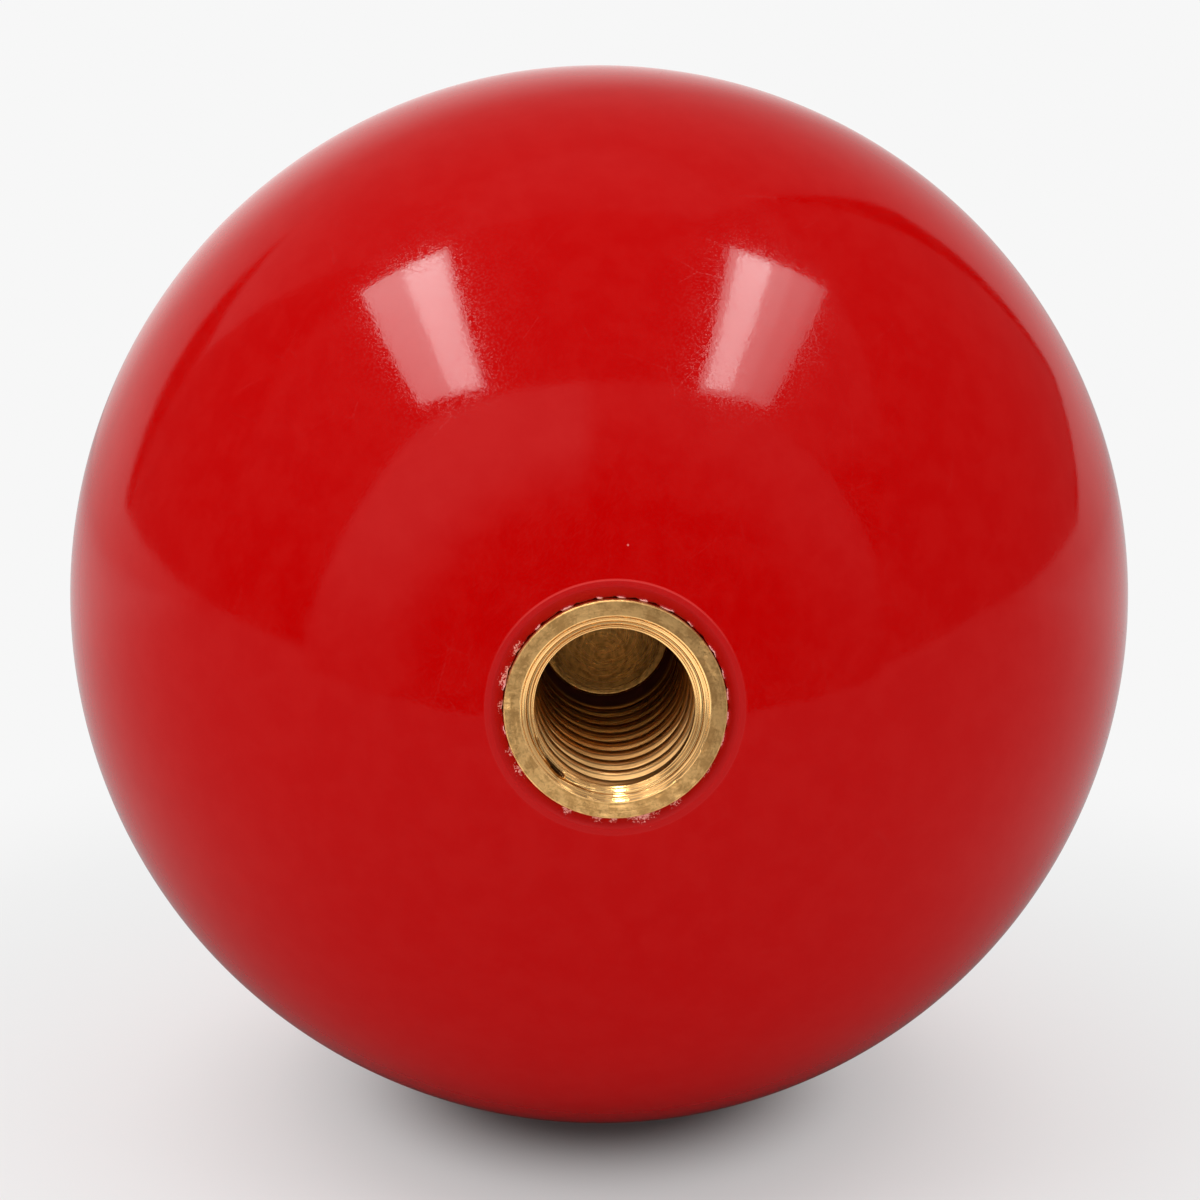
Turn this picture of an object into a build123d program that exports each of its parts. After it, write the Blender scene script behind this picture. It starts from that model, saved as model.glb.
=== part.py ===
from build123d import *
import os
from math import radians, sqrt, tan

# Ball knob: a polished plastic ball with a blind, tapped brass insert seated in its mouth.
# Sizes are in millimetres. The bore's axis is horizontal, its mouth faces -Y, and +Z is up.
# The origin is on that axis where the tapped wall starts, at the foot of the countersink.

# Ball
ball_diameter = 44.45
# Flat ring of the spot face, between the pocket's chamfer and the ball's round surface
land_width = 0.19
pocket_chamfer = 0.22
# Polishing leaves this radius where the spot face meets the ball
edge_round = 0.35

# Thread and bore of the insert: the bore is modelled at the thread's minor diameter
bore_diameter = 5.1
bore_depth = 13.3
countersink_width = 0.48
countersink_angle = 90

# Outside of the insert
knurl_diameter = 7.44
knurl_depth = 0.15
knurl_teeth = 36
knurl_groove_angle = 110
# The collar and tail are turned this much below the bottoms of the knurl's grooves
turned_step = 0.02
collar_length = 0.4
front_knurl_length = 4.6
retaining_groove_width = 1.6
retaining_groove_depth = 0.15
tail_length = 1.4
tail_chamfer = 0.5
rim_chamfer = 0.05
# Brass left between the bottom of the bore and the back of the insert
end_wall = 1.7

# Fit of the insert in the ball
seat_clearance = 0.02
# The insert's face stands this far out of the spot face
face_stand_out = 0.15

# Radii worked out from the values above
ball_radius = ball_diameter / 2
bore_radius = bore_diameter / 2
mouth_radius = bore_radius + countersink_width
knurl_radius = knurl_diameter / 2
knurl_root_radius = knurl_radius - knurl_depth
collar_radius = knurl_root_radius - turned_step
retaining_groove_radius = collar_radius - retaining_groove_depth
pocket_radius = knurl_radius + seat_clearance
pocket_mouth_radius = pocket_radius + pocket_chamfer
spot_face_radius = pocket_mouth_radius + land_width

# Stations along the axis, from the insert's face inwards
countersink_depth = countersink_width / tan(radians(countersink_angle / 2))
face_y = -countersink_depth
front_knurl_y = face_y + collar_length
retaining_groove_y = front_knurl_y + front_knurl_length
back_knurl_y = retaining_groove_y + retaining_groove_width
insert_back_y = face_y + bore_depth + end_wall
tail_y = insert_back_y - tail_length
spot_face_y = face_y + face_stand_out
ball_centre_y = spot_face_y + sqrt(ball_radius**2 - spot_face_radius**2)

# The tool that forms the knurl's grooves reaches past the blank's surface by this much
tool_overrun = 0.1


# Ball: one solid of revolution about the bore's axis, with the spot face and the insert's pocket
with BuildPart() as ball:
    with BuildSketch(Plane.XY):
        with BuildLine():
            Line((0, insert_back_y), (0, ball_centre_y + ball_radius))
            ThreePointArc(
                (0, ball_centre_y + ball_radius),
                (ball_radius, ball_centre_y),
                (spot_face_radius, spot_face_y),
            )
            Polyline(
                (spot_face_radius, spot_face_y),
                (pocket_mouth_radius, spot_face_y),
                (pocket_radius, spot_face_y + pocket_chamfer),
                (pocket_radius, insert_back_y),
                (0, insert_back_y),
            )
        make_face()
    revolve(axis=Axis.Y)
    spot_face_edge = ball.edges().group_by(Axis.Y)[0].sort_by(SortBy.RADIUS)[-1]
    fillet(spot_face_edge, edge_round)

# Insert: turned blank with a collar, two bands for the knurl and a retaining groove between them.
# Collar, groove and tail are turned after the knurl is rolled, which leaves square shoulders.
with BuildPart() as threaded_insert:
    with BuildSketch(Plane.XY):
        with BuildLine():
            Polyline(
                (0, face_y),
                (collar_radius - rim_chamfer, face_y),
                (collar_radius, face_y + rim_chamfer),
                (collar_radius, front_knurl_y),
                (knurl_radius, front_knurl_y),
                (knurl_radius, retaining_groove_y),
                (retaining_groove_radius, retaining_groove_y),
                (retaining_groove_radius, back_knurl_y),
                (knurl_radius, back_knurl_y),
                (knurl_radius, tail_y),
                (collar_radius, tail_y),
                (collar_radius, insert_back_y - tail_chamfer),
                (collar_radius - tail_chamfer, insert_back_y),
                (0, insert_back_y),
                close=True,
            )
        make_face()
    revolve(axis=Axis.Y)

    # Straight knurl: V grooves along the axis, cut through both bands
    groove_reach = knurl_depth + tool_overrun
    groove_half_width = groove_reach * tan(radians(knurl_groove_angle / 2))
    half_tooth = 180 / knurl_teeth
    with BuildSketch(Plane.XZ.offset(-front_knurl_y)):
        with PolarLocations(knurl_root_radius, knurl_teeth, start_angle=half_tooth):
            Polygon(
                (0, 0),
                (groove_reach, -groove_half_width),
                (groove_reach, groove_half_width),
                align=None,
            )
    extrude(amount=front_knurl_y - tail_y, mode=Mode.SUBTRACT)

    # Blind bore with a flat bottom, countersunk at the mouth
    with Locations(Plane.XZ.offset(-face_y)):
        CounterSinkHole(bore_radius, mouth_radius, bore_depth, countersink_angle)

ball.part.label = "ball"
threaded_insert.part.label = "threaded_insert"

os.makedirs("parts", exist_ok=True)
export_step(ball.part, "parts/ball.step")
export_step(threaded_insert.part, "parts/threaded_insert.step")
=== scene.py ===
from math import atan, cos, pi, radians, sin, sqrt, tan

import bpy
import numpy as np
from mathutils import Matrix, Vector


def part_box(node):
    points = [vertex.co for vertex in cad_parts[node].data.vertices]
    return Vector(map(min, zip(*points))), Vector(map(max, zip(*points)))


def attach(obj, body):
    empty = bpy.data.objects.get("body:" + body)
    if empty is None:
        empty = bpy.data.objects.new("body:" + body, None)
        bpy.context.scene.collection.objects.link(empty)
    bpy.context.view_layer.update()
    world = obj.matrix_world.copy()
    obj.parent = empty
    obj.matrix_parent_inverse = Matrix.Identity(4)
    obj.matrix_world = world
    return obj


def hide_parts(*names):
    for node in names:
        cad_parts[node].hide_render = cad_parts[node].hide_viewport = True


# Looks of a ball knob: a polished red plastic ball with a blind, threaded brass insert in its mouth.
# Lengths are in metres. The bore's axis is Y, its mouth faces -Y, and +Z is up.
# Angles round the axis start at +X and turn towards +Z.

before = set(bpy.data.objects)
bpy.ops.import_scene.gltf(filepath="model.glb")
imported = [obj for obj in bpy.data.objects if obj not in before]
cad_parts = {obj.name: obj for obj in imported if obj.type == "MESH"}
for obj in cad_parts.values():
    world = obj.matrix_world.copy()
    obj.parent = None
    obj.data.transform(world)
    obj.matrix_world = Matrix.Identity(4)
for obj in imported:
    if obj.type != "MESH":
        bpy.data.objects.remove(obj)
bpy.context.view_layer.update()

MM = 0.001

# Sizes that come from the frame
ball_low, ball_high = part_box("ball")
insert_low, insert_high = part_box("threaded_insert")
ball_radius = min(-ball_low.x, ball_high.x, -ball_low.z, ball_high.z)
ball_centre_y = ball_high.y - ball_radius
face_y = insert_low.y
insert_back_y = insert_high.y
knurl_radius = insert_high.x

# Mouth of the ball: flat spot face, its rounded edge, and the pocket with its chamfer
seat_clearance = 0.02 * MM
pocket_radius = knurl_radius + seat_clearance
pocket_chamfer = 0.22 * MM
pocket_mouth_radius = pocket_radius + pocket_chamfer
land_width = 0.19 * MM
spot_face_radius = pocket_mouth_radius + land_width
# Plastic pushed in front of the knurl closes the pocket's mouth to this radius
lip_radius = 3.58 * MM
lip_depth = 0.02 * MM
# How far the knurl's teeth, wear and curls move the plastic at the lip
knurl_mark_depth = 0.03 * MM
wear_depth = 0.02 * MM
curl_inwards = 0.015 * MM
curl_forwards = 0.10 * MM
face_stand_out = 0.15 * MM
spot_face_y = face_y + face_stand_out
edge_round = 0.35 * MM

# Outside of the insert
knurl_teeth = 36
knurl_depth = 0.15 * MM
tooth_angle = 360 / knurl_teeth
turned_step = 0.02 * MM
collar_radius = knurl_radius - knurl_depth - turned_step
collar_length = 0.4 * MM
front_knurl_length = 4.6 * MM
retaining_groove_width = 1.6 * MM
retaining_groove_depth = 0.15 * MM
tail_length = 1.4 * MM
tail_chamfer = 0.5 * MM
rim_chamfer = 0.05 * MM

# Bore and thread
bore_radius = 2.55 * MM
mouth_radius = 3.03 * MM
# The face is turned slightly hollow
face_hollow = 0.08 * MM
bore_end_y = 12.82 * MM
bore_corner_round = 0.12 * MM
thread_pitch = 1.27 * MM
thread_depth = 0.6875 * MM
thread_flank_angle = 30
crest_round = 0.10 * MM
root_round = 0.035 * MM
thread_run_out = 0.7 * MM
thread_end_y = 10.9 * MM
# Depth at which the first groove passes straight below the axis
first_groove_y = 1.10 * MM


def smooth_step(value, low, high):
    """Rises from 0 at low to 1 at high along a smooth S."""
    share = np.clip((value - low) / (high - low), 0, 1)
    return share * share * (3 - 2 * share)


def bell(distance, width):
    """1 at no distance, falling off both ways along a bell curve, to 1/e at the width."""
    return np.exp(-(distance / width) ** 2)


def turn_from(middle, angles):
    """Degrees from the angle middle to each of angles, between -180 and 180."""
    return (np.degrees(angles) - middle + 180) % 360 - 180


def closed_lathe(name, radius, height, angles, attributes=None):
    """Makes a closed piece from rings round the Y axis.

    radius and height are arrays (rings, angles): a point is (radius cos a, height, radius sin a). Each ring
    joins the next by a strip of quads and its last point to its first, and a fan to the axis closes each end.
    Rings run from the back over the outside to the front, and then into the bore, so faces point outwards.
    """
    rings, columns = radius.shape
    points = np.stack([radius * np.cos(angles), height, radius * np.sin(angles)], axis=-1)
    first_pole = (0, height[0].mean(), 0)
    last_pole = (0, height[-1].mean(), 0)
    points = np.concatenate([points.reshape(-1, 3), [first_pole, last_pole]])
    here = np.arange(rings * columns).reshape(rings, columns)
    beside = np.roll(here, -1, axis=1)
    strips = np.stack([here[:-1], beside[:-1], beside[1:], here[1:]], axis=-1).reshape(-1, 4)
    first_fan = np.stack([beside[0], here[0], np.full(columns, rings * columns)], axis=-1)
    last_fan = np.stack([here[-1], beside[-1], np.full(columns, rings * columns + 1)], axis=-1)
    fans = np.concatenate([first_fan, last_fan])

    mesh = bpy.data.meshes.new(name)
    mesh.vertices.add(len(points))
    mesh.vertices.foreach_set("co", points.ravel())
    mesh.loops.add(strips.size + fans.size)
    mesh.loops.foreach_set("vertex_index", np.concatenate([strips.ravel(), fans.ravel()]))
    starts = np.concatenate([np.arange(len(strips)) * 4, strips.size + np.arange(len(fans)) * 3])
    mesh.polygons.add(len(strips) + len(fans))
    mesh.polygons.foreach_set("loop_start", starts)
    mesh.update(calc_edges=True)
    mesh.validate()
    mesh.shade_smooth()
    for label, values in (attributes or {}).items():
        layer = mesh.attributes.new(label, "FLOAT", "POINT")
        layer.data.foreach_set("value", np.append(values.ravel(), (0, 0)))
    piece = bpy.data.objects.new(name, mesh)
    bpy.context.scene.collection.objects.link(piece)
    return piece


def outline(*stretches):
    """Joins stretches of an outline, each a pair of arrays (radius, height), into one pair."""
    pairs = [np.broadcast_arrays(np.atleast_1d(r), np.atleast_1d(h)) for r, h in stretches]
    return np.concatenate([r for r, h in pairs]), np.concatenate([h for r, h in pairs])


# Ball

# Wear round the pocket's edge, left by pressing the insert in:
# angle, half width in degrees, how far it spreads out from the edge in mm, strength
EDGE_WEAR = (
    (148, 7, 0.34, 0.60),
    (163, 9, 0.32, 0.68),
    (179, 5, 0.18, 0.70),
    (203, 5, 0.24, 0.60),
    (213, 6, 0.32, 0.60),
    (245, 4, 0.30, 0.78),
    (261, 4, 0.22, 0.72),
    (269, 3, 0.20, 0.80),
    (284, 11, 0.34, 0.72),
    (302, 6, 0.24, 0.62),
    (325, 8, 0.16, 0.55),
)

# Curls of plastic that the knurl pushed up against the insert: angle, half width in degrees
CURLS = (
    (343, 4.0),
    (355, 4.0),
    (7, 3.5),
    (18, 3.0),
    (31, 4.0),
    (49, 2.0),
    (63, 4.0),
    (75.5, 2.5),
    (87, 2.5),
    (98, 1.5),
    (115, 3.5),
    (133, 2.0),
    (168, 2.5),
    (191, 3.0),
)


def polished_ball():
    """The ball: a sphere, an arc of edge_round to the flat spot face, a chamfer, a lip, and the pocket.

    Knurl marks are hollows at the lip, one for each tooth, shaped as the square of a cosine. Worn places
    follow EDGE_WEAR: each is a bell curve round the ring, times one that falls off outwards from the lip.
    CURLS draw the lip inwards and forwards, with a flatter bell curve round the ring.
    """
    round_y = spot_face_y + edge_round
    round_radius = sqrt((ball_radius - edge_round) ** 2 - (ball_centre_y - round_y) ** 2)
    round_angle = atan(round_radius / (ball_centre_y - round_y))
    from_back = np.linspace(0, pi - round_angle, 176)[1:]
    round_turn = np.linspace(round_angle, 0, 6)[1:]
    chamfer_foot_y = spot_face_y + pocket_chamfer
    lip_end_y = chamfer_foot_y + lip_depth
    radius, height = outline(
        (ball_radius * np.sin(from_back), ball_centre_y + ball_radius * np.cos(from_back)),
        (round_radius + edge_round * np.sin(round_turn), round_y - edge_round * np.cos(round_turn)),
        (np.linspace(round_radius, pocket_mouth_radius, 7)[1:], spot_face_y),
        (
            np.linspace(pocket_mouth_radius, lip_radius, 13)[1:],
            np.linspace(spot_face_y, chamfer_foot_y, 13)[1:],
        ),
        (lip_radius, np.linspace(chamfer_foot_y, lip_end_y, 4)[1:]),
        (np.linspace(lip_radius, pocket_radius, 4)[1:], lip_end_y),
        (pocket_radius, lip_end_y + np.linspace(0, 0.8 * MM, 9)[1:]),
        (pocket_radius, np.linspace(chamfer_foot_y + 1.5 * MM, insert_back_y, 4)),
        (np.array([0.7, 0.35]) * pocket_radius, insert_back_y),
    )
    angles = np.linspace(0, 2 * pi, 360, endpoint=False)
    radius = np.repeat(radius[:, None], len(angles), axis=1)
    height = np.repeat(height[:, None], len(angles), axis=1)

    # How far each point lies out from the lip, and past the chamfer's foot into the ball
    out = radius - lip_radius
    down = height - chamfer_foot_y
    near_mouth = (radius < pocket_mouth_radius * 1.2) & (height < chamfer_foot_y + 1 * MM)
    marks = np.clip(np.cos(knurl_teeth * angles), 0, 1) ** 2
    hollow = knurl_mark_depth * marks * bell(np.hypot(out, down), 0.10 * MM)

    wear = np.zeros_like(radius)
    for middle, half_width, spread, strength in EDGE_WEAR:
        reach = bell(np.hypot(out, 0.6 * down), spread * MM)
        wear = np.maximum(wear, strength * bell(turn_from(middle, angles), half_width) * reach)
    wear = wear * near_mouth
    at_lip = bell(np.hypot(out, down), 0.05 * MM) * near_mouth
    curl = np.zeros_like(radius)
    for middle, half_width in CURLS:
        curl = np.maximum(curl, at_lip * np.exp(-(turn_from(middle, angles) / half_width) ** 4))
    radius = radius + hollow * near_mouth - curl_inwards * curl
    # The lip's back stays clear of the knurl
    room_to_press = np.clip((lip_end_y - height) / lip_depth, 0, 1)
    height = height + wear_depth * wear * room_to_press - curl_forwards * curl
    wear = np.maximum(wear, 1.1 * curl)
    return closed_lathe("polished_ball", radius, height, angles, {"edge_wear": wear})


# Insert

# Dents in the insert's face: angle, radius in mm, size in mm, depth in mm. One below 0 stands out.
FACE_DENTS = (
    (176, 3.44, 0.10, 0.09),
    (33, 3.38, 0.08, 0.05),
    (28, 3.30, 0.10, -0.03),
    (24, 3.36, 0.09, -0.03),
    (19, 3.28, 0.07, 0.05),
    (40, 3.50, 0.12, 0.06),
    (264, 3.40, 0.07, 0.04),
    (307, 3.42, 0.09, 0.04),
    (318, 3.38, 0.07, 0.03),
    (339, 3.06, 0.06, 0.05),
    (335, 3.07, 0.05, 0.05),
    (309, 3.08, 0.07, 0.04),
    (297, 3.09, 0.05, 0.04),
    (274, 3.12, 0.05, 0.05),
    (269, 3.11, 0.05, 0.05),
)

# Grooves turned in the countersink: radius in mm, depth in mm. The deepest divides it in two.
CONE_GROOVES = ((2.61, 0.012), (2.67, 0.012), (2.80, 0.030), (2.91, 0.012), (2.96, 0.014))
cone_groove_width = 0.022 * MM

# Gouge in the countersink, where the tap was started: angle, radius in mm, width in mm, depth in mm
GOUGE = (
    (199, 2.68, 0.025, 0.03),
    (203, 2.69, 0.030, 0.08),
    (212, 2.72, 0.028, 0.06),
    (222, 2.75, 0.050, 0.14),
    (231, 2.78, 0.070, 0.20),
    (235, 2.78, 0.055, 0.06),
    (257, 2.74, 0.025, 0.02),
)


def thread_groove(height, angles):
    """How far the thread's groove reaches out of the bore's wall at each height and angle.

    The distance along the axis to the middle of the nearest groove, which winds one pitch a turn to the
    right, gives a V with a flat of an eighth of the pitch at its root. Crest and root are rounded by
    hyperbolas, and the groove fades in at the mouth and out before the bore's end.
    """
    turn = (height - first_groove_y) / thread_pitch + (angles + pi / 2) / (2 * pi)
    away = np.abs((turn + 0.5) % 1 - 0.5) * thread_pitch
    depth = thread_depth - (away - thread_pitch / 16) / tan(radians(thread_flank_angle))
    depth = 0.5 * (depth + np.sqrt(depth**2 + crest_round**2))
    past_root = depth - thread_depth
    depth = thread_depth + 0.5 * (past_root - np.sqrt(past_root**2 + root_round**2))
    lead_in = smooth_step(height, -0.15 * MM, 0.60 * MM)
    run_out = 1 - smooth_step(height, thread_end_y - thread_run_out, thread_end_y)
    return np.clip(depth, 0, None) * lead_in * run_out


def brass_insert():
    """The insert: a turned blank, straight knurled, with a hollow face and a countersunk, threaded bore.

    The knurl's V grooves are straight lines between six angles a tooth. The bore's wall is its radius plus
    thread_groove. Dents, the countersink's grooves and the gouge are bell curves pressed in along the axis.
    """
    groove_half_angle = 3.3
    groove_angles = tooth_angle / 2 + groove_half_angle * np.array([-1, -0.5, 0, 0.5, 1])
    tooth_starts = np.arange(knurl_teeth)[:, None] * tooth_angle
    angles = np.radians((tooth_starts + np.concatenate([[0], groove_angles])).ravel())
    groove_share = np.tile([0, 0, 0.5, 1, 0.5, 0], knurl_teeth)

    front_knurl_y = face_y + collar_length
    retaining_groove_y = front_knurl_y + front_knurl_length
    back_knurl_y = retaining_groove_y + retaining_groove_width
    tail_y = insert_back_y - tail_length
    retaining_groove_radius = collar_radius - retaining_groove_depth
    tail_end_radius = collar_radius - tail_chamfer
    corner_turn = np.linspace(0, pi / 2, 5)[1:]
    corner_out = bore_corner_round * (1 - np.cos(corner_turn))
    corner_in = bore_corner_round * (1 - np.sin(corner_turn))
    outside = outline(
        (np.array([0.35, 0.7, 1]) * tail_end_radius, insert_back_y),
        (collar_radius, np.array([insert_back_y - tail_chamfer, tail_y])),
        (knurl_radius, np.linspace(tail_y, back_knurl_y, 5)),
        (retaining_groove_radius, np.array([back_knurl_y, retaining_groove_y])),
        (knurl_radius, np.linspace(retaining_groove_y, front_knurl_y, 5)),
        (collar_radius, np.array([front_knurl_y, face_y + 0.2 * MM, face_y + rim_chamfer])),
        (collar_radius - 0.35 * rim_chamfer, face_y + 0.35 * rim_chamfer),
        (collar_radius - rim_chamfer, face_y),
        (np.linspace(collar_radius - rim_chamfer, mouth_radius, 15)[1:], face_y),
    )
    down_cone = np.linspace(0, 1, 33)[1:-1]
    inside = outline(
        (
            mouth_radius - down_cone * (mouth_radius - bore_radius),
            face_y + face_hollow + down_cone * -(face_y + face_hollow),
        ),
        (bore_radius, np.linspace(0, thread_end_y + 0.1 * MM, 296)),
        (bore_radius, np.linspace(thread_end_y + 0.3 * MM, bore_end_y - bore_corner_round, 4)),
        (bore_radius - corner_out, bore_end_y - corner_in),
        (np.linspace(bore_radius - bore_corner_round, 0, 12)[1:-1], bore_end_y),
    )
    radius = np.concatenate([outside[0], inside[0]])[:, None] + np.zeros(len(angles))
    height = np.concatenate([outside[1], inside[1]])[:, None] + np.zeros(len(angles))

    knurled = np.isclose(radius, knurl_radius)
    radius = radius - knurled * knurl_depth * groove_share

    in_bore = np.arange(len(radius))[:, None] >= len(outside[0])
    in_bore = in_bore & (height < thread_end_y + 0.2 * MM)
    wall = bore_radius + thread_groove(height, angles)
    radius = np.where(in_bore, np.maximum(radius, wall), radius)

    # Hollow face, and the grooves in the countersink
    rim_radius = collar_radius - rim_chamfer
    in_front = height < 0
    hollow = np.clip((rim_radius - radius) / (rim_radius - mouth_radius), 0, 1)
    height = height + in_front * face_hollow * hollow * (radius > mouth_radius * 0.999)
    for middle, depth in CONE_GROOVES:
        height = height + in_front * depth * MM * bell(radius - middle * MM, cone_groove_width)

    # The gouge's radius, width and depth run straight between the rows of GOUGE
    turn = np.degrees(angles) % 360
    gouge_angle, gouge_radius, gouge_width, gouge_depth = np.array(GOUGE).T
    middle = np.interp(turn, gouge_angle, gouge_radius) * MM
    width = np.interp(turn, gouge_angle, gouge_width) * MM
    cut = np.interp(turn, gouge_angle, gouge_depth, left=0, right=0) * MM
    in_gouge = in_front * bell(radius - middle, width)
    height = height + cut * in_gouge
    scored = in_gouge * smooth_step(cut, 0.03 * MM, 0.14 * MM)

    # Only the face and its two edges take dents
    on_face = (height < face_y + 0.15 * MM) & (radius > mouth_radius - 0.05 * MM)
    for angle, middle, size, depth in FACE_DENTS:
        apart = np.hypot(
            radius * np.cos(angles) - middle * MM * cos(radians(angle)),
            radius * np.sin(angles) - middle * MM * sin(radians(angle)),
        )
        height = height + on_face * depth * MM * bell(apart, size * MM)
    height = np.maximum(height, face_y)
    return closed_lathe("brass_insert", radius, height, angles, {"scored": scored})


# Shader helpers


def feed(tree, socket, value):
    """Gives a socket a value, or links another node's output to it."""
    if isinstance(value, bpy.types.NodeSocket):
        tree.links.new(value, socket)
    else:
        socket.default_value = value


def add_node(tree, kind, inputs=None, **settings):
    """Adds a node. inputs gives each socket, by name or number, a value or another node's output."""
    node = tree.nodes.new(kind)
    for label, value in settings.items():
        setattr(node, label, value)
    for key, value in (inputs or {}).items():
        feed(tree, node.inputs[key], value)
    return node


def calc(tree, operation, first, second=0.0):
    """Output of a Math node."""
    return add_node(tree, "ShaderNodeMath", {0: first, 1: second}, operation=operation).outputs[0]


def product(tree, *values):
    """The values multiplied together."""
    result = values[0]
    for value in values[1:]:
        result = calc(tree, "MULTIPLY", result, value)
    return result


def total(tree, *values):
    """The values added together."""
    result = values[0]
    for value in values[1:]:
        result = calc(tree, "ADD", result, value)
    return result


def distance(tree, place, point):
    """Distance of a place from a point."""
    node = add_node(tree, "ShaderNodeVectorMath", {0: place, 1: point}, operation="DISTANCE")
    return node.outputs["Value"]


def dot_product(tree, first, second):
    """Dot product of two vectors."""
    node = add_node(tree, "ShaderNodeVectorMath", {0: first, 1: second}, operation="DOT_PRODUCT")
    return node.outputs["Value"]


def ramp(tree, value, low, high, to_low=0.0, to_high=1.0):
    """value mapped along a smooth S from low..high to to_low..to_high."""
    inputs = {"Value": value, "From Min": low, "From Max": high, "To Min": to_low, "To Max": to_high}
    return add_node(tree, "ShaderNodeMapRange", inputs, interpolation_type="SMOOTHSTEP").outputs["Result"]


def blend_values(tree, share, first, second):
    """Number between first and second."""
    return add_node(tree, "ShaderNodeMix", {0: share, 2: first, 3: second}, data_type="FLOAT").outputs[0]


def blend_colours(tree, share, first, second):
    """Colour between first and second."""
    mix = add_node(tree, "ShaderNodeMix", {"Factor": share}, data_type="RGBA")
    for name, colour in (("A", first), ("B", second)):
        socket = [s for s in mix.inputs if s.name == name and s.type == "RGBA"][0]
        feed(tree, socket, (*colour, 1) if isinstance(colour, tuple) else colour)
    return [s for s in mix.outputs if s.type == "RGBA"][0]


def noise(tree, place, scale, detail=2.0, roughness=0.5):
    """Value of a Noise Texture at a place."""
    inputs = {"Vector": place, "Scale": scale, "Detail": detail, "Roughness": roughness}
    return add_node(tree, "ShaderNodeTexNoise", inputs).outputs["Fac"]


def bump(tree, height):
    """Normal of a surface that stands this high, in metres."""
    inputs = {"Strength": 1.0, "Distance": 1.0, "Height": height}
    return add_node(tree, "ShaderNodeBump", inputs).outputs["Normal"]


def attribute(tree, name):
    """Value that a piece's mesh carries under a name."""
    return add_node(tree, "ShaderNodeAttribute", attribute_name=name).outputs["Fac"]


def empty_tree(owner):
    """Turns on the nodes of a material or a world, with none in its tree."""
    owner.use_nodes = True
    owner.node_tree.nodes.clear()
    return owner.node_tree


def new_material(name):
    """An empty material with its output node, the part's Object coordinates and a Principled shader."""
    material = bpy.data.materials.new(name)
    tree = empty_tree(material)
    place = add_node(tree, "ShaderNodeTexCoord").outputs["Object"]
    shader = add_node(tree, "ShaderNodeBsdfPrincipled")
    add_node(tree, "ShaderNodeOutputMaterial", {"Surface": shader.outputs["BSDF"]})
    return material, tree, place, shader


FLOAT = "NodeSocketFloat"
VECTOR = "NodeSocketVector"


def new_group(name, inputs, outputs):
    """A shader node group. inputs and outputs give the kind of each socket by its name."""
    group = bpy.data.node_groups.new(name, "ShaderNodeTree")
    for label, kind in inputs.items():
        group.interface.new_socket(label, in_out="INPUT", socket_type=kind)
    for label, kind in outputs.items():
        group.interface.new_socket(label, in_out="OUTPUT", socket_type=kind)
    return group, group.nodes.new("NodeGroupInput").outputs, group.nodes.new("NodeGroupOutput").inputs


def use_group(tree, group, inputs):
    """Outputs of a node group that is placed in a material."""
    return add_node(tree, "ShaderNodeGroup", inputs, node_tree=group).outputs


def round_axis_group():
    """Place round the bore's axis: distance from it, angle in turns, and distance along it."""
    results = {"Radius": FLOAT, "Turn": FLOAT, "Along": FLOAT}
    group, given, wanted = new_group("place_round_axis", {"Place": VECTOR}, results)
    x, y, z = add_node(group, "ShaderNodeSeparateXYZ", {0: given["Place"]}).outputs
    radius = calc(group, "SQRT", total(group, product(group, x, x), product(group, z, z)))
    turn = calc(group, "DIVIDE", calc(group, "ARCTAN2", z, x), 2 * pi)
    feed(group, wanted["Radius"], radius)
    feed(group, wanted["Turn"], turn)
    feed(group, wanted["Along"], y)
    return group


def specks_group():
    """Scattered specks: 1 inside a speck and 0 elsewhere. Share sets how many places have one."""
    inputs = {"Place": VECTOR, "Scale": FLOAT, "Size": FLOAT, "Share": FLOAT}
    group, given, wanted = new_group("specks", inputs, {"Mask": FLOAT})
    pattern = {"Vector": given["Place"], "Scale": given["Scale"]}
    cells = add_node(group, "ShaderNodeTexVoronoi", pattern).outputs
    inside = calc(group, "LESS_THAN", cells["Distance"], product(group, given["Size"], cells["Color"]))
    chance = add_node(group, "ShaderNodeSeparateColor", {0: cells["Color"]}).outputs[1]
    kept = calc(group, "LESS_THAN", chance, given["Share"])
    feed(group, wanted["Mask"], product(group, inside, kept))
    return group


place_round_axis = round_axis_group()
specks = specks_group()


# Materials

RED = (0.430, 0.0020, 0.0017)
RED_DEEP = (0.420, 0.0003, 0.0003)
RED_TURNED = (0.425, 0.0015, 0.0012)
RED_EDGE_HIGHLIGHT = (0.640, 0.0450, 0.0400)
STRESS_WHITE = (0.95, 0.42, 0.38)

# A painted reflection of a small lamp: a single pale spot on the ball, above its mouth
REFLECTION_SPOT_PLACE = (0.394 * MM, -0.072 * MM, 5.225 * MM)


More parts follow.
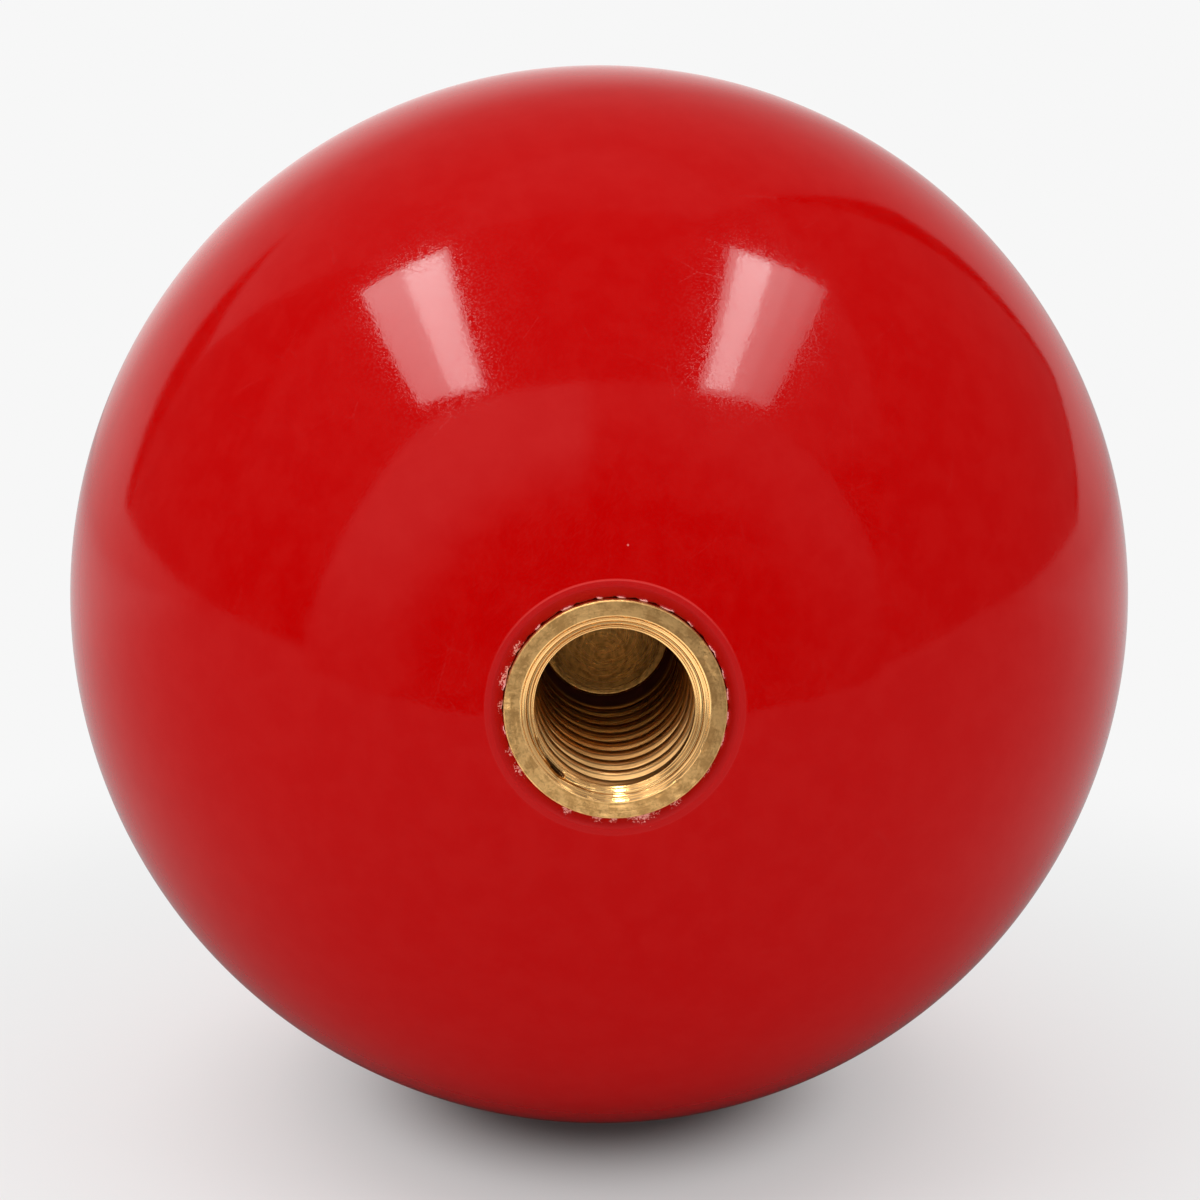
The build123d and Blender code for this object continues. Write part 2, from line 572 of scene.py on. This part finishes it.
def red_plastic():
    """Polished red phenolic: clouded, with hairlines, dust, faint orange peel and a bruised pocket edge."""
    material, tree, place, shader = new_material("polished_red_plastic")
    clouds = ramp(tree, noise(tree, place, 900, 5.0, 0.68), 0.36, 0.62)
    colour = blend_colours(tree, clouds, RED, RED_DEEP)

    # The spot face and chamfer are as turned, and a painted highlight runs round their edge, mostly at the
    # top
    radius, turn, along = use_group(tree, place_round_axis, {"Place": place})
    at_mouth = ramp(tree, along, spot_face_y + 0.6 * MM, spot_face_y + 0.5 * MM)
    turned = product(tree, at_mouth, ramp(tree, radius, spot_face_radius + 0.02 * MM, spot_face_radius))
    colour = blend_colours(tree, product(tree, turned, 0.7), colour, RED_TURNED)
    off_edge = calc(tree, "ABSOLUTE", calc(tree, "SUBTRACT", radius, spot_face_radius + 0.01 * MM))
    on_edge = ramp(tree, off_edge, 0.045 * MM, 0.015 * MM)
    upward = calc(tree, "SINE", product(tree, turn, 2 * pi))
    edge_highlight = product(tree, at_mouth, on_edge, ramp(tree, upward, 0.3, 1.0, 0.05, 0.65))
    colour = blend_colours(tree, edge_highlight, colour, RED_EDGE_HIGHLIGHT)

    # Worn plastic crumbles and turns whitish
    worn = attribute(tree, "edge_wear")
    crumbs = noise(tree, place, 13000, 2.0, 0.7)
    bruise = ramp(tree, total(tree, worn, product(tree, crumbs, 1.4)), 1.16, 1.36)
    dust_and_reflection = use_group(tree, specks, {"Place": place, "Scale": 420.0, "Size": 0.025, "Share": 0.05})[0]
    # The pale spot above the mouth is a painted reflection of a small lamp, whitened like the specks
    speck = ramp(tree, distance(tree, place, REFLECTION_SPOT_PLACE), 0.045 * MM, 0.02 * MM)
    dust_and_reflection = calc(tree, "MAXIMUM", dust_and_reflection, speck)
    whitened = calc(tree, "MAXIMUM", bruise, product(tree, dust_and_reflection, 0.35))
    feed(tree, shader.inputs["Base Color"], blend_colours(tree, whitened, colour, STRESS_WHITE))

    # Hairlines are the walls between scattered cells, broken where a noise is low
    hairline_scale = 460
    cells = {"Vector": place, "Scale": hairline_scale}
    to_wall = add_node(tree, "ShaderNodeTexVoronoi", cells, feature="DISTANCE_TO_EDGE").outputs["Distance"]
    unbroken = calc(tree, "GREATER_THAN", noise(tree, place, hairline_scale, 0.0), 0.56)
    hairlines = product(tree, calc(tree, "LESS_THAN", to_wall, 0.006), unbroken)

    smudges = ramp(tree, noise(tree, place, 160, 2.0, 0.6), 0.4, 0.7, 0.02, 0.04)
    pits = ramp(tree, noise(tree, place, 14000, 1.0, 0.5), 0.40, 0.62, 0.0, 0.12)
    dullness = calc(tree, "MAXIMUM", product(tree, bruise, 0.35), product(tree, turned, 0.30))
    roughness = total(tree, smudges, pits, dullness, product(tree, hairlines, 0.10))
    feed(tree, shader.inputs["Roughness"], roughness)
    shader.inputs["IOR"].default_value = 1.25
    shader.inputs["Specular Tint"].default_value = (1.5, 1.0, 1.0, 1.0)

    # Heights of the finish: polishing waves, a fine crinkle and crumbled plastic
    peel = product(tree, noise(tree, place, 420, 1.0, 0.55), 0.006 * MM)
    crinkle = product(tree, noise(tree, place, 8000, 1.0, 0.6), 0.0011 * MM)
    crumbled = product(tree, worn, crumbs, 0.05 * MM)
    feed(tree, shader.inputs["Normal"], bump(tree, total(tree, peel, crinkle, crumbled)))
    return material


BRASS = (0.94, 0.58, 0.23)
BRASS_DULL = (0.66, 0.38, 0.14)
BRASS_DEEP_SHADED = (0.60, 0.33, 0.07)
BRASS_SHADED_WALL = (0.30, 0.045, 0.014)
BRASS_FLOOR = (0.84, 0.46, 0.13)
BRASS_FLOOR_DARK = (0.44, 0.23, 0.06)
BRASS_FACE = (0.86, 0.52, 0.20)
BRASS_TARNISHED = (0.56, 0.31, 0.105)
BRASS_STAIN_AND_SHADE = (0.16, 0.085, 0.035)

# The drill's marks on the bore's floor run round a point below its middle
SWIRL_MIDDLE = (-0.1 * MM, bore_end_y, -0.9 * MM)


def swirled_floor(tree, place):
    """Marks left by the drill on the bore's floor: broken rings and spots."""
    wobble = product(tree, noise(tree, place, 900, 2.0), 0.5 * MM)
    away = total(tree, distance(tree, place, SWIRL_MIDDLE), wobble)
    ring_place = add_node(tree, "ShaderNodeCombineXYZ", {0: away}).outputs[0]
    rings = noise(tree, ring_place, 5200, 2.0, 0.6)
    grain = noise(tree, place, 5200, 4.0, 0.7)
    return ramp(tree, total(tree, product(tree, rings, 0.5), product(tree, grain, 0.5)), 0.36, 0.60)


def brass():
    """Turned brass: a grainy face mottled with tarnish, a bright countersink, and a thread painted darker and
    browner inwards, as shade.
    """
    material, tree, place, shader = new_material("turned_brass")
    radius, turn, along = use_group(tree, place_round_axis, {"Place": place})
    in_front = ramp(tree, along, face_y + 0.17 * MM, face_y + 0.13 * MM)
    face = product(tree, in_front, ramp(tree, radius, mouth_radius, mouth_radius + 0.03 * MM))

    # Rings left by the turning tool, which wander a little round the axis
    wander = product(tree, turn, 0.0002)
    ring_place = add_node(tree, "ShaderNodeCombineXYZ", {0: radius, 1: along, 2: wander}).outputs[0]
    rings = noise(tree, ring_place, 9000, 3.0, 0.6)
    broad_rings = noise(tree, ring_place, 2600, 2.0, 0.5)
    grain = noise(tree, place, 11000, 4.0, 0.7)
    patches = noise(tree, place, 1900, 3.0, 0.6)

    # The bore is bright at its mouth, painted darker and browner deeper in as shade, and swirled on its floor
    bore = blend_colours(tree, ramp(tree, rings, 0.3, 0.7), BRASS, BRASS_DULL)
    bore = blend_colours(tree, ramp(tree, along, 1.5 * MM, 10 * MM), bore, BRASS_DEEP_SHADED)
    # Past the thread the plain wall is painted dark, a painted shade
    shaded_wall = ramp(tree, along, 10.5 * MM, 11.2 * MM)
    bore = blend_colours(tree, shaded_wall, bore, BRASS_SHADED_WALL)
    swirl = swirled_floor(tree, place)
    bottom = ramp(tree, along, bore_end_y - 0.10 * MM, bore_end_y - 0.04 * MM)
    bore = blend_colours(tree, bottom, bore, blend_colours(tree, swirl, BRASS_FLOOR_DARK, BRASS_FLOOR))

    # A dark stripe painted along the thread's flanks near their crests, as painted shade
    off_shade_line = calc(tree, "ABSOLUTE", calc(tree, "SUBTRACT", radius, bore_radius + 0.12 * MM))
    in_thread = ramp(tree, along, 0.4 * MM, 0.7 * MM)
    shade_line = product(tree, ramp(tree, off_shade_line, 0.035 * MM, 0.01 * MM), in_thread, 0.75)
    bore = blend_colours(tree, shade_line, bore, BRASS_STAIN_AND_SHADE)

    # The face is mottled and stained, and darker towards its upper right
    mottle = total(tree, product(tree, grain, 0.35), product(tree, patches, 0.65), product(tree, rings, 0.25))
    dull = blend_colours(tree, ramp(tree, mottle, 0.52, 0.72), BRASS_TARNISHED, BRASS_FACE)
    stained = ramp(tree, noise(tree, place, 2300, 4.0, 0.7), 0.58, 0.74)
    dull = blend_colours(tree, product(tree, stained, 0.6), dull, BRASS_STAIN_AND_SHADE)
    upper_right = tuple(v / (3.3 * MM) for v in (cos(radians(30)), 0, sin(radians(30))))
    upper_right_darkening = ramp(tree, dot_product(tree, place, upper_right), 0.0, 1.0, 0.0, 0.34)
    dull = blend_colours(tree, upper_right_darkening, dull, BRASS_STAIN_AND_SHADE)

    colour = blend_colours(tree, face, bore, dull)
    colour = blend_colours(tree, ramp(tree, attribute(tree, "scored"), 0.2, 0.8), colour, BRASS_STAIN_AND_SHADE)
    spots = use_group(tree, specks, {"Place": place, "Scale": 2600.0, "Size": 0.25, "Share": 0.12})[0]
    colour = blend_colours(tree, product(tree, spots, 0.6), colour, BRASS_STAIN_AND_SHADE)
    feed(tree, shader.inputs["Base Color"], colour)
    off_bottom = calc(tree, "SUBTRACT", 1.0, bottom)
    # The plain wall past the thread, painted dark as shade, is also less metallic and rougher
    shaded_plain_wall = product(tree, shaded_wall, off_bottom)
    feed(tree, shader.inputs["Metallic"], ramp(tree, shaded_plain_wall, 0.0, 1.0, 1.0, 0.2))

    # The countersink is smoothest, and the first turns of the thread are rubbed dull
    bore_rough = total(
        tree,
        ramp(tree, rings, 0.3, 0.7, 0.14, 0.24),
        ramp(tree, along, -0.05 * MM, 0.25 * MM, 0.0, 0.16),
        ramp(tree, along, 2 * MM, 5 * MM, 0.0, -0.06),
        product(tree, shaded_plain_wall, 0.5),
    )
    face_rough = ramp(tree, grain, 0.3, 0.7, 0.36, 0.52)
    feed(tree, shader.inputs["Roughness"], blend_values(tree, face, bore_rough, face_rough))

    ring_relief = product(tree, total(tree, rings, broad_rings), 0.008 * MM, off_bottom)
    grain_relief = product(tree, grain, face, 0.010 * MM)
    swirl_relief = product(tree, swirl, bottom, 0.004 * MM)
    feed(tree, shader.inputs["Normal"], bump(tree, total(tree, ring_relief, grain_relief, swirl_relief)))
    return material


# Floor, room and lamps

floor_z = ball_low.z
floor_half_size = 2.5
PAPER_WHITE = 0.93
# The sheet ends here, in front of the ball and behind the camera
floor_front_y = -0.0785


def pale_floor():
    """A level sheet of paper, painted darker near the ball as a painted shadow. The camera sees it blend into
    plain white away from the object.
    """
    signs = ((-1, -1), (1, -1), (1, 1), (-1, 1))
    corners = [(x * floor_half_size, y * floor_half_size, floor_z) for x, y in signs]
    mesh = bpy.data.meshes.new("floor")
    mesh.from_pydata(corners, [], [(0, 1, 2, 3)])
    floor = bpy.data.objects.new("floor", mesh)
    bpy.context.scene.collection.objects.link(floor)

    material = bpy.data.materials.new("pale_paper")
    tree = empty_tree(material)
    place = add_node(tree, "ShaderNodeTexCoord").outputs["Object"]
    path = add_node(tree, "ShaderNodeLightPath").outputs
    along = add_node(tree, "ShaderNodeSeparateXYZ", {0: place}).outputs[1]
    away = distance(tree, place, (0, ball_centre_y, floor_z))

    # Shiny surfaces see the paper as dimmer than it is, with painted light behind the ball and a painted
    # shadow near it, and past its front edge they see the room
    behind_ball = ramp(tree, along, 0.0, 0.15, 0.30, 0.50)
    gloss_painted_light_and_shadow = product(tree, behind_ball, ramp(tree, away, 0.006, 0.040, 0.45, 1.0))
    # Dull and camera rays see the paper's colour painted darker near the ball, a painted shadow
    dull_painted_shadow = ramp(tree, away, 0.004, 0.022, 0.38, 0.82)
    shade = blend_values(tree, path["Is Glossy Ray"], dull_painted_shadow, gloss_painted_light_and_shadow)
    tone = add_node(tree, "ShaderNodeCombineColor", {0: shade, 1: shade, 2: shade}).outputs[0]
    paper = add_node(tree, "ShaderNodeBsdfDiffuse", {"Color": tone}).outputs[0]
    # The glow is painted darker near the ball too, a painted shadow
    glow_painted_shadow = ramp(tree, away, 0.012, 0.065, 0.84 * PAPER_WHITE, PAPER_WHITE)
    glow = add_node(tree, "ShaderNodeEmission", {"Color": (1, 1, 1, 1), "Strength": glow_painted_shadow}).outputs[0]
    glow_share = total(
        tree,
        ramp(tree, away, 0.0055, 0.0120, 0.0, 0.5),
        ramp(tree, away, 0.012, 0.045, 0.0, 0.5),
    )
    glow_share = product(tree, glow_share, path["Is Camera Ray"])
    seen = add_node(tree, "ShaderNodeMixShader", {0: glow_share, 1: paper, 2: glow}).outputs[0]
    past_front = ramp(tree, along, floor_front_y + 1 * MM, floor_front_y - 1 * MM)
    past_front = product(tree, past_front, path["Is Glossy Ray"])
    open_room = add_node(tree, "ShaderNodeBsdfTransparent").outputs[0]
    sheet = add_node(tree, "ShaderNodeMixShader", {0: past_front, 1: seen, 2: open_room}).outputs[0]
    add_node(tree, "ShaderNodeOutputMaterial", {"Surface": sheet})
    mesh.materials.append(material)


def room():
    """World: white to the camera, an even fill for dull surfaces, and a studio for shiny ones to mirror."""
    world = bpy.data.worlds.new("studio")
    world.cycles.sampling_method = "NONE"
    tree = empty_tree(world)
    way = add_node(tree, "ShaderNodeTexCoord").outputs["Generated"]
    path = add_node(tree, "ShaderNodeLightPath").outputs
    across, behind, height = add_node(tree, "ShaderNodeSeparateXYZ", {0: way}).outputs

    def side(x, y, z, offset=0.0, soft=0.02):
        """1 where x X + y Y + z Z is over the offset, for a direction X, Y, Z."""
        return ramp(tree, dot_product(tree, way, (x, y, z)), offset - soft, offset + soft)

    def both(*masks):
        """Where all the masks are 1."""
        return product(tree, *masks)

    def either(first, second):
        """Where one of two masks is 1."""
        return calc(tree, "MAXIMUM", first, second)

    def over(below, mask, level):
        """Lays a level over what is below, where the mask is 1."""
        return blend_values(tree, mask, below, level)

    # White backdrop, curving up and over behind the ball, brightest low down behind it
    level = ramp(tree, height, 0.10, 0.85, 0.62, 0.23)
    level = product(tree, level, ramp(tree, height, -0.02, 0.14, 0.80, 1.0))
    level = over(level, side(0, 0, 1, 0.93), 0.35)
    hot_spot = side(-0.17, 0.951, 0.259, 0.93, 0.06)
    level = total(tree, level, product(tree, hot_spot, 0.25))

    # The dim front of the room under the ceiling, between the backdrop's two ends
    front = side(0, -1, 0.05)
    on_left = side(-1, 0, 0)
    sweep_corner = (0.214, -0.501, 0.839)
    right_end = both(
        side(1.3, -1, -0.42, -0.12),
        side(0.691, -0.722, 0.056, 0, 0.008),
        side(*sweep_corner, -0.008, 0.008),
    )
    left_end = side(-0.191, -0.340, 0.124, 0, 0.008)
    left_wall = both(side(-0.7, -1, -0.33), left_end)
    right_lift = either(side(0, -0.118, 1, -0.003), side(0, -0.285, 1, 0.032))
    over_sweep = both(side(0.02, -0.165, 1, -0.012), either(on_left, right_lift))
    dim = both(either(front, either(right_end, left_wall)), over_sweep)
    level = over(level, dim, ramp(tree, height, 0.0, 0.5, 0.02, 0.19))

    # Its left corner, a window on its right, and a band over that
    left_corner = both(dim, on_left, side(-0.105, 0.973, -0.207, -0.03), side(0, 0, -1, -0.80, 0.05))
    level = over(level, left_corner, 0.09)
    window_edge = (0.242, 0.299, -0.188)
    window = both(dim, side(1, 0, 0, 0.2), side(*window_edge, 0, 0.006), side(0, 0, -1, -0.9, 0.03))
    level = over(level, window, 0.12)
    past_window = side(*(-v for v in window_edge), 0, 0.006)
    right_band = both(dim, side(1, 0, 0, 0.45), past_window, side(0, 0, -1, -0.80))
    level = over(level, right_band, ramp(tree, height, 0.38, 0.60, 0.01, 0.32))

    # Dark gaps where the backdrop ends
    at_back = side(0, 1, 0)
    right_gap = both(right_end, side(-0.694, 0.713, 0.105, 0, 0.008), at_back, over_sweep)
    level = over(level, right_gap, 0.0)
    past_corner = side(*(-v for v in sweep_corner), -0.014, 0.006)
    right_seam = both(right_end, past_corner, side(0, 1, 0, 0.3), over_sweep)
    level = over(level, right_seam, 0.0)
    left_gap = both(left_end, side(0.024, 0.226, -0.178, 0, 0.005), side(0.477, 0.879, 0), over_sweep)
    level = over(level, left_gap, 0.0)

    # A large round reflector behind the camera, cut straight along its top and sides, dark in its middle and
    # brighter in its left half
    card_turn = radians(-1.5)
    card_drop = radians(-5)
    card_way = (sin(card_turn) * cos(card_drop), -cos(card_turn) * cos(card_drop), sin(card_drop))
    off_card = calc(tree, "ARCCOSINE", dot_product(tree, way, card_way))
    card = both(
        ramp(tree, off_card, radians(60.6), radians(59.6)),
        side(0, -0.788, -0.615),
        side(0.134, -0.808, -0.554, 0.018),
        side(-0.134, -0.808, -0.554, 0.018),
        side(0.458, -0.832, -0.314),
        side(-0.5548, -0.8320, 0),
    )
    lift = ramp(tree, height, -0.2, 0.45, 0.25, 1.0)
    left_level = product(tree, ramp(tree, off_card, radians(29), radians(47), 0.0, 1.12), lift)
    right_level = product(tree, ramp(tree, off_card, radians(30), radians(58), 0.0, 0.56), lift)
    left_half = side(-cos(radians(-4)), -sin(radians(-4)), 0, 0.0, 0.045)
    level = over(level, card, over(right_level, left_half, left_level))

    # Light for dull surfaces, a little stronger from the left and from behind
    fill = total(tree, ramp(tree, across, -1.0, 1.0, 0.93, 0.78), ramp(tree, behind, 0.1, 0.8, 0.0, 0.5))
    fill = over(fill, path["Is Camera Ray"], PAPER_WHITE)
    plain = add_node(tree, "ShaderNodeBackground", {"Color": (1, 1, 1, 1), "Strength": fill}).outputs[0]
    warm_white = (1.12, 1.0, 0.985, 1)
    mirrored = add_node(tree, "ShaderNodeBackground", {"Color": warm_white, "Strength": level}).outputs[0]
    glossy_or_clear = either(path["Is Glossy Ray"], path["Is Transmission Ray"])
    background = add_node(tree, "ShaderNodeMixShader", {0: glossy_or_clear, 1: plain, 2: mirrored}).outputs[0]
    add_node(tree, "ShaderNodeOutputWorld", {"Surface": background})
    bpy.context.scene.world = world


lamp_height = 0.6
WHITE = (1.0, 1.0, 1.0)
# The plastic's shine is reddish where it is faint and white where it is strong, so the strips make up for it
STRIP_TINT = (0.66, 1.0, 1.0)


def area_lamp(name, width, length, radiance, only=None, tint=WHITE):
    """A rectangular lamp that shows in one shiny piece alone, or lights dull surfaces if only is None."""
    light = bpy.data.lights.new(name, "AREA")
    light.shape = "RECTANGLE"
    light.size = width
    light.size_y = length
    light.energy = radiance * pi * width * length
    light.color = tint
    lamp = bpy.data.objects.new(name, light)
    lamp.visible_diffuse = only is None
    lamp.visible_glossy = only is not None
    lamp.visible_camera = False
    bpy.context.scene.collection.objects.link(lamp)
    if only:
        reached = bpy.data.collections.new(name + "_reaches")
        reached.objects.link(only)
        lamp.light_linking.receiver_collection = reached
    return lamp


def strip_lamp(name, edges, radiance, only=None, drop=0.0, turn=0.0, tint=WHITE):
    """A level strip of light over the ball, which turn swings on the spot, in degrees.

    Its left, right, front and back edges are in units of its own height, from the ball's middle.
    """
    height = lamp_height - drop
    left, right, front, back = (edge * height for edge in edges)
    lamp = area_lamp(name, right - left, back - front, radiance, only, tint)
    lamp.location = ((left + right) / 2, ball_centre_y + (front + back) / 2, height)
    lamp.rotation_euler = (0, 0, radians(turn))


def facing(place, aim):
    """Matrix that puts a lamp or a camera at a place, facing a point."""
    turned = (Vector(aim) - Vector(place)).to_track_quat("-Z", "Y").to_matrix().to_4x4()
    return Matrix.Translation(place) @ turned


def panel_lamp(name, place, width, length, radiance, only):
    """A flat panel at a place, facing the ball's mouth."""
    lamp = area_lamp(name, width, length, radiance, only)
    lamp.matrix_world = facing(place, (0, 0, 0))


def floor_panel(name, left, right, front, back, radiance, only):
    """A panel that faces up from just above the floor."""
    lamp = area_lamp(name, right - left, back - front, radiance, only)
    lamp.location = ((left + right) / 2, (front + back) / 2, floor_z + 0.5 * MM)
    lamp.rotation_euler = (pi, 0, 0)


def lamps(ball, insert):
    """Two soft strips overhead, each with a bright stripe towards its inner edge, and lamps for the brass."""
    left_edges = (-0.80, -0.455, -0.755, 0.005)
    right_edges = (0.38, 0.745, -0.82, -0.05)
    left_turn = -4.1
    right_turn = 1.9
    strip_lamp("left_strip_light", left_edges, 8.0, turn=left_turn)
    strip_lamp("right_strip_light", right_edges, 4.6, turn=right_turn)

    # Name, edges, radiance, how far it hangs below the strips that give the light, turn
    strips = (
        ("left_strip_shine", left_edges, 11.3, 0.01, left_turn),
        ("left_strip_core", (-0.62, -0.475, -0.735, -0.015), 12.0, 0.02, left_turn),
        ("right_strip_shine", right_edges, 5.0, 0.01, right_turn),
        ("right_strip_middle", (0.38, 0.69, -0.78, -0.05), 2.0, 0.02, right_turn),
        ("right_strip_inner", (0.38, 0.60, -0.78, -0.05), 2.4, 0.025, right_turn),
        ("right_strip_core", (0.41, 0.52, -0.78, -0.07), 14.0, 0.03, right_turn),
    )
    for name, edges, radiance, drop, turn in strips:
        strip_lamp(name, edges, radiance, ball, drop, turn, STRIP_TINT)

    strip_lamp("brass_glint", (-0.042, -0.012, -0.60, 0.10), 60.0, insert)
    strip_lamp("brass_right_glint", (0.36, 0.48, -0.50, -0.10), 7.0, insert)
    strip_lamp("brass_left_glint", (-0.60, -0.45, -0.50, -0.10), 30.0, insert)
    strip_lamp("brass_right_fill", (0.50, 1.00, -0.50, 0.20), 2.0, insert)
    panel_lamp("brass_front", (0, -0.30, 0.21), 0.70, 0.34, 0.14, insert)
    panel_lamp("brass_above", (0, -0.32, 0.13), 0.34, 0.10, 2.7, insert)
    panel_lamp("brass_axis", (0, -0.35, -0.02), 0.30, 0.12, 0.30, insert)
    panel_lamp("brass_left", (-0.35, -0.10, 0.03), 0.45, 0.40, 0.32, insert)
    panel_lamp("brass_right", (0.35, -0.10, 0.05), 0.45, 0.35, 0.50, insert)
    floor_panel("brass_below", -0.006, 0.015, -0.025, 0.012, 0.7, insert)
    floor_panel("brass_below_left", -0.16, -0.006, -0.030, 0.015, 1.15, insert)
    floor_panel("brass_below_right", 0.015, 0.16, -0.030, 0.015, 0.9, insert)


# Camera, at the photograph's angle

view_elevation = radians(9.6)
view_azimuth = radians(-1.35)
view_distance = 3.5 * ball_radius
lens = 53.23
sensor = 36.0
photo_size = 1200
# Middle of the ball's outline in the photograph, in its own pixels
ball_pixel = (599.2, 594.6)


def photo_camera():
    """Looks at the ball so that its middle falls on ball_pixel."""
    back = Vector((
        sin(view_azimuth) * cos(view_elevation),
        -cos(view_azimuth) * cos(view_elevation),
        sin(view_elevation),
    ))
    middle = Vector((0, ball_centre_y, 0))
    right = Vector((0, 0, 1)).cross(back).normalized()
    up = back.cross(right)
    focal_pixels = lens / sensor * photo_size
    aside = (photo_size / 2 - ball_pixel[0]) / focal_pixels * view_distance
    below = (photo_size / 2 - ball_pixel[1]) / focal_pixels * view_distance
    place = middle + back * view_distance
    aim = middle + right * aside - up * below
    data = bpy.data.cameras.new("photo_camera")
    data.lens = lens
    data.sensor_width = sensor
    data.clip_start = 0.001
    camera = bpy.data.objects.new("photo_camera", data)
    camera.matrix_world = facing(place, aim)
    bpy.context.scene.collection.objects.link(camera)
    bpy.context.scene.camera = camera


def dress(piece, material, node):
    """Gives a piece its material, and puts it in the place of its CAD node."""
    piece.data.materials.append(material)
    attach(piece, "root")
    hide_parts(node)


ball = polished_ball()
insert = brass_insert()
dress(ball, red_plastic(), "ball")
dress(insert, brass(), "threaded_insert")
pale_floor()
room()
lamps(ball, insert)
photo_camera()

bpy.context.scene.view_settings.view_transform = "Standard"
